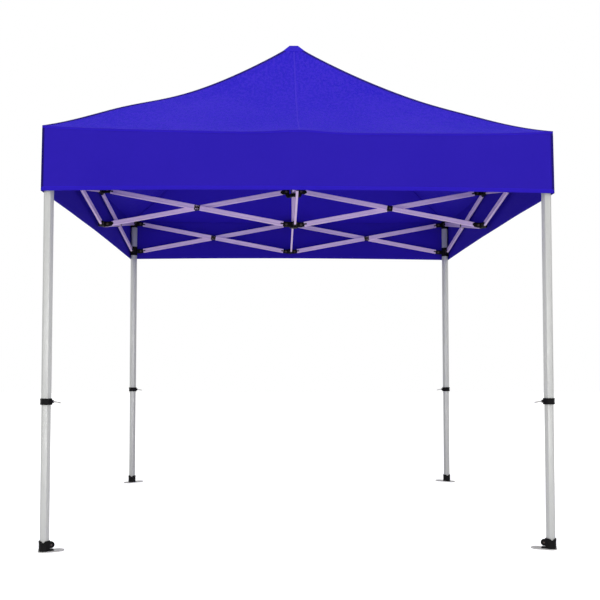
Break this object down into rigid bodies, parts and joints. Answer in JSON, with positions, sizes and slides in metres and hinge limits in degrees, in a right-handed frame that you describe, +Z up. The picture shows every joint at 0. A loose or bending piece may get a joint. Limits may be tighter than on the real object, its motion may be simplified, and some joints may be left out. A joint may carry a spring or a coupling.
{
  "type": "pop up canopy",
  "caption": "Square pop up shelter with a peaked fabric roof and valance on a folding aluminium scissor frame with telescopic legs and foot plates.",
  "frame": {"origin": "on the floor at the centre of the four legs", "axes": "+Z up, -Y is the front, +X is right as seen from the front"},
  "size_m": [3.0412, 3.0246, 3.495],
  "materials": {
    "polyester": "coated woven polyester, matt",
    "aluminium": "satin anodised",
    "bar_metal": "satin extruded",
    "nylon": "moulded black nylon",
    "steel": "zinc plated"
  },
  "bodies": {
    "hub": {"hub_upper": "nylon", "canopy_cover": "polyester"},
    "inner_falling_bar_front": {"inner_falling_bar_front": "bar_metal"},
    "inner_rising_bar_front": {"inner_rising_bar_front": "bar_metal"},
    "side_upper_bracket_front": {"side_upper_bracket_front": "nylon"},
    "side_lower_bracket_front": {"side_lower_bracket_front": "nylon"},
    "hub_lower": {"hub_lower": "nylon", "peak_pole": "aluminium"},
    "side_falling_bar_front_left": {"side_falling_bar_front_left": "bar_metal"},
    "side_rising_bar_front_left": {"side_rising_bar_front_left": "bar_metal"},
    "leg_slider_front_left": {"leg_slider_front_left": "nylon"},
    "leg_front_left": {"outer_leg_front_left": "aluminium", "top_bracket_front_left": "nylon"},
    "side_falling_bar_front_right": {"side_falling_bar_front_right": "bar_metal"},
    "side_rising_bar_front_right": {"side_rising_bar_front_right": "bar_metal"},
    "leg_slider_front_right": {"leg_slider_front_right": "nylon"},
    "leg_front_right": {"outer_leg_front_right": "aluminium", "top_bracket_front_right": "nylon"},
    "inner_falling_bar_right": {"inner_falling_bar_right": "bar_metal"},
    "inner_rising_bar_right": {"inner_rising_bar_right": "bar_metal"},
    "side_upper_bracket_right": {"side_upper_bracket_right": "nylon"},
    "side_lower_bracket_right": {"side_lower_bracket_right": "nylon"},
    "side_falling_bar_right_front": {"side_falling_bar_right_front": "bar_metal"},
    "side_rising_bar_right_front": {"side_rising_bar_right_front": "bar_metal"},
    "side_falling_bar_right_back": {"side_falling_bar_right_back": "bar_metal"},
    "side_rising_bar_right_back": {"side_rising_bar_right_back": "bar_metal"},
    "inner_falling_bar_back": {"inner_falling_bar_back": "bar_metal"},
    "inner_rising_bar_back": {"inner_rising_bar_back": "bar_metal"},
    "side_upper_bracket_back": {"side_upper_bracket_back": "nylon"},
    "side_lower_bracket_back": {"side_lower_bracket_back": "nylon"},
    "side_falling_bar_back_right": {"side_falling_bar_back_right": "bar_metal"},
    "side_rising_bar_back_right": {"side_rising_bar_back_right": "bar_metal"},
    "leg_slider_back_right": {"leg_slider_back_right": "nylon"},
    "leg_back_right": {"outer_leg_back_right": "aluminium", "top_bracket_back_right": "nylon"},
    "side_falling_bar_back_left": {"side_falling_bar_back_left": "bar_metal"},
    "side_rising_bar_back_left": {"side_rising_bar_back_left": "bar_metal"},
    "leg_slider_back_left": {"leg_slider_back_left": "nylon"},
    "leg_back_left": {"outer_leg_back_left": "aluminium", "top_bracket_back_left": "nylon"},
    "inner_falling_bar_left": {"inner_falling_bar_left": "bar_metal"},
    "inner_rising_bar_left": {"inner_rising_bar_left": "bar_metal"},
    "side_upper_bracket_left": {"side_upper_bracket_left": "nylon"},
    "side_lower_bracket_left": {"side_lower_bracket_left": "nylon"},
    "side_falling_bar_left_back": {"side_falling_bar_left_back": "bar_metal"},
    "side_rising_bar_left_back": {"side_rising_bar_left_back": "bar_metal"},
    "side_falling_bar_left_front": {"side_falling_bar_left_front": "bar_metal"},
    "side_rising_bar_left_front": {"side_rising_bar_left_front": "bar_metal"},
    "inner_leg_front_left": {"inner_leg_front_left": "aluminium", "foot_front_left": "nylon"},
    "lock_pin_front_left": {"lock_pin_front_left": "steel"},
    "inner_leg_front_right": {"inner_leg_front_right": "aluminium", "foot_front_right": "nylon"},
    "lock_pin_front_right": {"lock_pin_front_right": "steel"},
    "inner_leg_back_right": {"inner_leg_back_right": "aluminium", "foot_back_right": "nylon"},
    "lock_pin_back_right": {"lock_pin_back_right": "steel"},
    "inner_leg_back_left": {"inner_leg_back_left": "aluminium", "foot_back_left": "nylon"},
    "lock_pin_back_left": {"lock_pin_back_left": "steel"}
  },
  "joints": [
    {"name": "fold", "type": "hinge", "parent": "hub", "child": "inner_falling_bar_front", "pos_m": [-0.00865, -0.056, 2.382], "axis": [1, 0, 0], "range_deg": [0, 77.4]},
    {"name": "side_lower_bracket_front_pivot", "type": "hinge", "parent": "inner_falling_bar_front", "child": "side_lower_bracket_front", "pos_m": [-0.00865, -1.404, 2.13], "axis": [1, 0, 0], "range_deg": [-77.4, 0]},
    {"name": "inner_rising_bar_front_crossing", "type": "hinge", "parent": "inner_falling_bar_front", "child": "inner_rising_bar_front", "pos_m": [0, -0.73, 2.256], "axis": [1, 0, 0], "range_deg": [-154.8, 0]},
    {"name": "side_upper_bracket_front_pivot", "type": "hinge", "parent": "inner_rising_bar_front", "child": "side_upper_bracket_front", "pos_m": [0.00865, -1.404, 2.382], "axis": [1, 0, 0], "range_deg": [0, 77.4]},
    {"name": "hub_lower_pivot", "type": "hinge", "parent": "inner_rising_bar_front", "child": "hub_lower", "pos_m": [0.00865, -0.056, 2.13], "axis": [1, 0, 0], "range_deg": [0, 77.4]},
    {"name": "side_falling_bar_front_left_pivot", "type": "hinge", "parent": "side_upper_bracket_front", "child": "side_falling_bar_front_left", "pos_m": [-0.04, -1.45865, 2.382], "axis": [0, -1, 0], "range_deg": [0, 77.4]},
    {"name": "side_rising_bar_front_left_crossing", "type": "hinge", "parent": "side_falling_bar_front_left", "child": "side_rising_bar_front_left", "pos_m": [-0.714, -1.45, 2.256], "axis": [0, -1, 0], "range_deg": [-154.8, 0]},
    {"name": "leg_slider_front_left_pivot", "type": "hinge", "parent": "side_falling_bar_front_left", "child": "leg_slider_front_left", "pos_m": [-1.388, -1.45865, 2.13], "axis": [0, -1, 0], "range_deg": [-77.4, 0]},
    {"name": "leg_front_left_pivot", "type": "hinge", "parent": "side_rising_bar_front_left", "child": "leg_front_left", "pos_m": [-1.388, -1.44135, 2.382], "axis": [0, -1, 0], "range_deg": [0, 77.4]},
    {"name": "side_falling_bar_front_right_pivot", "type": "hinge", "parent": "side_upper_bracket_front", "child": "side_falling_bar_front_right", "pos_m": [0.04, -1.45865, 2.382], "axis": [0, 1, 0], "range_deg": [0, 77.4]},
    {"name": "side_rising_bar_front_right_crossing", "type": "hinge", "parent": "side_falling_bar_front_right", "child": "side_rising_bar_front_right", "pos_m": [0.714, -1.45, 2.256], "axis": [0, 1, 0], "range_deg": [-154.8, 0]},
    {"name": "leg_slider_front_right_pivot", "type": "hinge", "parent": "side_falling_bar_front_right", "child": "leg_slider_front_right", "pos_m": [1.388, -1.45865, 2.13], "axis": [0, 1, 0], "range_deg": [-77.4, 0]},
    {"name": "leg_front_right_pivot", "type": "hinge", "parent": "side_rising_bar_front_right", "child": "leg_front_right", "pos_m": [1.388, -1.44135, 2.382], "axis": [0, 1, 0], "range_deg": [0, 77.4]},
    {"name": "inner_falling_bar_right_pivot", "type": "hinge", "parent": "hub", "child": "inner_falling_bar_right", "pos_m": [0.056, -0.00865, 2.382], "axis": [0, 1, 0], "range_deg": [0, 77.4]},
    {"name": "side_lower_bracket_right_pivot", "type": "hinge", "parent": "inner_falling_bar_right", "child": "side_lower_bracket_right", "pos_m": [1.404, -0.00865, 2.13], "axis": [0, 1, 0], "range_deg": [-77.4, 0]},
    {"name": "inner_rising_bar_right_crossing", "type": "hinge", "parent": "inner_falling_bar_right", "child": "inner_rising_bar_right", "pos_m": [0.73, 0, 2.256], "axis": [0, 1, 0], "range_deg": [-154.8, 0]},
    {"name": "side_upper_bracket_right_pivot", "type": "hinge", "parent": "inner_rising_bar_right", "child": "side_upper_bracket_right", "pos_m": [1.404, 0.00865, 2.382], "axis": [0, 1, 0], "range_deg": [0, 77.4]},
    {"name": "side_falling_bar_right_front_pivot", "type": "hinge", "parent": "side_upper_bracket_right", "child": "side_falling_bar_right_front", "pos_m": [1.45865, -0.04, 2.382], "axis": [1, 0, 0], "range_deg": [0, 77.4]},
    {"name": "side_rising_bar_right_front_crossing", "type": "hinge", "parent": "side_falling_bar_right_front", "child": "side_rising_bar_right_front", "pos_m": [1.45, -0.714, 2.256], "axis": [1, 0, 0], "range_deg": [-154.8, 0]},
    {"name": "side_falling_bar_right_back_pivot", "type": "hinge", "parent": "side_upper_bracket_right", "child": "side_falling_bar_right_back", "pos_m": [1.45865, 0.04, 2.382], "axis": [-1, 0, 0], "range_deg": [0, 77.4]},
    {"name": "side_rising_bar_right_back_crossing", "type": "hinge", "parent": "side_falling_bar_right_back", "child": "side_rising_bar_right_back", "pos_m": [1.45, 0.714, 2.256], "axis": [-1, 0, 0], "range_deg": [-154.8, 0]},
    {"name": "inner_falling_bar_back_pivot", "type": "hinge", "parent": "hub", "child": "inner_falling_bar_back", "pos_m": [0.00865, 0.056, 2.382], "axis": [-1, 0, 0], "range_deg": [0, 77.4]},
    {"name": "side_lower_bracket_back_pivot", "type": "hinge", "parent": "inner_falling_bar_back", "child": "side_lower_bracket_back", "pos_m": [0.00865, 1.404, 2.13], "axis": [-1, 0, 0], "range_deg": [-77.4, 0]},
    {"name": "inner_rising_bar_back_crossing", "type": "hinge", "parent": "inner_falling_bar_back", "child": "inner_rising_bar_back", "pos_m": [0, 0.73, 2.256], "axis": [-1, 0, 0], "range_deg": [-154.8, 0]},
    {"name": "side_upper_bracket_back_pivot", "type": "hinge", "parent": "inner_rising_bar_back", "child": "side_upper_bracket_back", "pos_m": [-0.00865, 1.404, 2.382], "axis": [-1, 0, 0], "range_deg": [0, 77.4]},
    {"name": "side_falling_bar_back_right_pivot", "type": "hinge", "parent": "side_upper_bracket_back", "child": "side_falling_bar_back_right", "pos_m": [0.04, 1.45865, 2.382], "axis": [0, 1, 0], "range_deg": [0, 77.4]},
    {"name": "side_rising_bar_back_right_crossing", "type": "hinge", "parent": "side_falling_bar_back_right", "child": "side_rising_bar_back_right", "pos_m": [0.714, 1.45, 2.256], "axis": [0, 1, 0], "range_deg": [-154.8, 0]},
    {"name": "leg_slider_back_right_pivot", "type": "hinge", "parent": "side_falling_bar_back_right", "child": "leg_slider_back_right", "pos_m": [1.388, 1.45865, 2.13], "axis": [0, 1, 0], "range_deg": [-77.4, 0]},
    {"name": "leg_back_right_pivot", "type": "hinge", "parent": "side_rising_bar_back_right", "child": "leg_back_right", "pos_m": [1.388, 1.44135, 2.382], "axis": [0, 1, 0], "range_deg": [0, 77.4]},
    {"name": "side_falling_bar_back_left_pivot", "type": "hinge", "parent": "side_upper_bracket_back", "child": "side_falling_bar_back_left", "pos_m": [-0.04, 1.45865, 2.382], "axis": [0, -1, 0], "range_deg": [0, 77.4]},
    {"name": "side_rising_bar_back_left_crossing", "type": "hinge", "parent": "side_falling_bar_back_left", "child": "side_rising_bar_back_left", "pos_m": [-0.714, 1.45, 2.256], "axis": [0, -1, 0], "range_deg": [-154.8, 0]},
    {"name": "leg_slider_back_left_pivot", "type": "hinge", "parent": "side_falling_bar_back_left", "child": "leg_slider_back_left", "pos_m": [-1.388, 1.45865, 2.13], "axis": [0, -1, 0], "range_deg": [-77.4, 0]},
    {"name": "leg_back_left_pivot", "type": "hinge", "parent": "side_rising_bar_back_left", "child": "leg_back_left", "pos_m": [-1.388, 1.44135, 2.382], "axis": [0, -1, 0], "range_deg": [0, 77.4]},
    {"name": "inner_falling_bar_left_pivot", "type": "hinge", "parent": "hub", "child": "inner_falling_bar_left", "pos_m": [-0.056, 0.00865, 2.382], "axis": [0, -1, 0], "range_deg": [0, 77.4]},
    {"name": "side_lower_bracket_left_pivot", "type": "hinge", "parent": "inner_falling_bar_left", "child": "side_lower_bracket_left", "pos_m": [-1.404, 0.00865, 2.13], "axis": [0, -1, 0], "range_deg": [-77.4, 0]},
    {"name": "inner_rising_bar_left_crossing", "type": "hinge", "parent": "inner_falling_bar_left", "child": "inner_rising_bar_left", "pos_m": [-0.73, 0, 2.256], "axis": [0, -1, 0], "range_deg": [-154.8, 0]},
    {"name": "side_upper_bracket_left_pivot", "type": "hinge", "parent": "inner_rising_bar_left", "child": "side_upper_bracket_left", "pos_m": [-1.404, -0.00865, 2.382], "axis": [0, -1, 0], "range_deg": [0, 77.4]},
    {"name": "side_falling_bar_left_back_pivot", "type": "hinge", "parent": "side_upper_bracket_left", "child": "side_falling_bar_left_back", "pos_m": [-1.45865, 0.04, 2.382], "axis": [-1, 0, 0], "range_deg": [0, 77.4]},
    {"name": "side_rising_bar_left_back_crossing", "type": "hinge", "parent": "side_falling_bar_left_back", "child": "side_rising_bar_left_back", "pos_m": [-1.45, 0.714, 2.256], "axis": [-1, 0, 0], "range_deg": [-154.8, 0]},
    {"name": "side_falling_bar_left_front_pivot", "type": "hinge", "parent": "side_upper_bracket_left", "child": "side_falling_bar_left_front", "pos_m": [-1.45865, -0.04, 2.382], "axis": [1, 0, 0], "range_deg": [0, 77.4]},
    {"name": "side_rising_bar_left_front_crossing", "type": "hinge", "parent": "side_falling_bar_left_front", "child": "side_rising_bar_left_front", "pos_m": [-1.45, -0.714, 2.256], "axis": [1, 0, 0], "range_deg": [-154.8, 0]},
    {"name": "leg_height_front_left", "type": "slide", "parent": "leg_front_left", "child": "inner_leg_front_left", "axis": [0, 0, 1], "range_m": [0, 0.76]},
    {"name": "lock_pull_front_left", "type": "slide", "parent": "leg_front_left", "child": "lock_pin_front_left", "axis": [1, 0, 0], "range_m": [0, 0.008], "stiffness_N_per_m": 500, "springref_m": -0.006},
    {"name": "leg_height_front_right", "type": "slide", "parent": "leg_front_right", "child": "inner_leg_front_right", "axis": [0, 0, 1], "range_m": [0, 0.76]},
    {"name": "lock_pull_front_right", "type": "slide", "parent": "leg_front_right", "child": "lock_pin_front_right", "axis": [-1, 0, 0], "range_m": [0, 0.008], "stiffness_N_per_m": 500, "springref_m": -0.006},
    {"name": "leg_height_back_right", "type": "slide", "parent": "leg_back_right", "child": "inner_leg_back_right", "axis": [0, 0, 1], "range_m": [0, 0.76]},
    {"name": "lock_pull_back_right", "type": "slide", "parent": "leg_back_right", "child": "lock_pin_back_right", "axis": [-1, 0, 0], "range_m": [0, 0.008], "stiffness_N_per_m": 500, "springref_m": -0.006},
    {"name": "leg_height_back_left", "type": "slide", "parent": "leg_back_left", "child": "inner_leg_back_left", "axis": [0, 0, 1], "range_m": [0, 0.76]},
    {"name": "lock_pull_back_left", "type": "slide", "parent": "leg_back_left", "child": "lock_pin_back_left", "axis": [1, 0, 0], "range_m": [0, 0.008], "stiffness_N_per_m": 500, "springref_m": -0.006}
  ],
  "couplings": [
    {"joint": "side_lower_bracket_front_pivot", "follows": "fold", "ratio": -1},
    {"joint": "inner_rising_bar_front_crossing", "follows": "fold", "ratio": -2},
    {"joint": "side_upper_bracket_front_pivot", "follows": "fold", "ratio": 1},
    {"joint": "hub_lower_pivot", "follows": "fold", "ratio": 1},
    {"joint": "side_falling_bar_front_left_pivot", "follows": "fold", "ratio": 1},
    {"joint": "side_rising_bar_front_left_crossing", "follows": "fold", "ratio": -2},
    {"joint": "leg_slider_front_left_pivot", "follows": "fold", "ratio": -1},
    {"joint": "leg_front_left_pivot", "follows": "fold", "ratio": 1},
    {"joint": "side_falling_bar_front_right_pivot", "follows": "fold", "ratio": 1},
    {"joint": "side_rising_bar_front_right_crossing", "follows": "fold", "ratio": -2},
    {"joint": "leg_slider_front_right_pivot", "follows": "fold", "ratio": -1},
    {"joint": "leg_front_right_pivot", "follows": "fold", "ratio": 1},
    {"joint": "inner_falling_bar_right_pivot", "follows": "fold", "ratio": 1},
    {"joint": "side_lower_bracket_right_pivot", "follows": "fold", "ratio": -1},
    {"joint": "inner_rising_bar_right_crossing", "follows": "fold", "ratio": -2},
    {"joint": "side_upper_bracket_right_pivot", "follows": "fold", "ratio": 1},
    {"joint": "side_falling_bar_right_front_pivot", "follows": "fold", "ratio": 1},
    {"joint": "side_rising_bar_right_front_crossing", "follows": "fold", "ratio": -2},
    {"joint": "side_falling_bar_right_back_pivot", "follows": "fold", "ratio": 1},
    {"joint": "side_rising_bar_right_back_crossing", "follows": "fold", "ratio": -2},
    {"joint": "inner_falling_bar_back_pivot", "follows": "fold", "ratio": 1},
    {"joint": "side_lower_bracket_back_pivot", "follows": "fold", "ratio": -1},
    {"joint": "inner_rising_bar_back_crossing", "follows": "fold", "ratio": -2},
    {"joint": "side_upper_bracket_back_pivot", "follows": "fold", "ratio": 1},
    {"joint": "side_falling_bar_back_right_pivot", "follows": "fold", "ratio": 1},
    {"joint": "side_rising_bar_back_right_crossing", "follows": "fold", "ratio": -2},
    {"joint": "leg_slider_back_right_pivot", "follows": "fold", "ratio": -1},
    {"joint": "leg_back_right_pivot", "follows": "fold", "ratio": 1},
    {"joint": "side_falling_bar_back_left_pivot", "follows": "fold", "ratio": 1},
    {"joint": "side_rising_bar_back_left_crossing", "follows": "fold", "ratio": -2},
    {"joint": "leg_slider_back_left_pivot", "follows": "fold", "ratio": -1},
    {"joint": "leg_back_left_pivot", "follows": "fold", "ratio": 1},
    {"joint": "inner_falling_bar_left_pivot", "follows": "fold", "ratio": 1},
    {"joint": "side_lower_bracket_left_pivot", "follows": "fold", "ratio": -1},
    {"joint": "inner_rising_bar_left_crossing", "follows": "fold", "ratio": -2},
    {"joint": "side_upper_bracket_left_pivot", "follows": "fold", "ratio": 1},
    {"joint": "side_falling_bar_left_back_pivot", "follows": "fold", "ratio": 1},
    {"joint": "side_rising_bar_left_back_crossing", "follows": "fold", "ratio": -2},
    {"joint": "side_falling_bar_left_front_pivot", "follows": "fold", "ratio": 1},
    {"joint": "side_rising_bar_left_front_crossing", "follows": "fold", "ratio": -2}
  ]
}
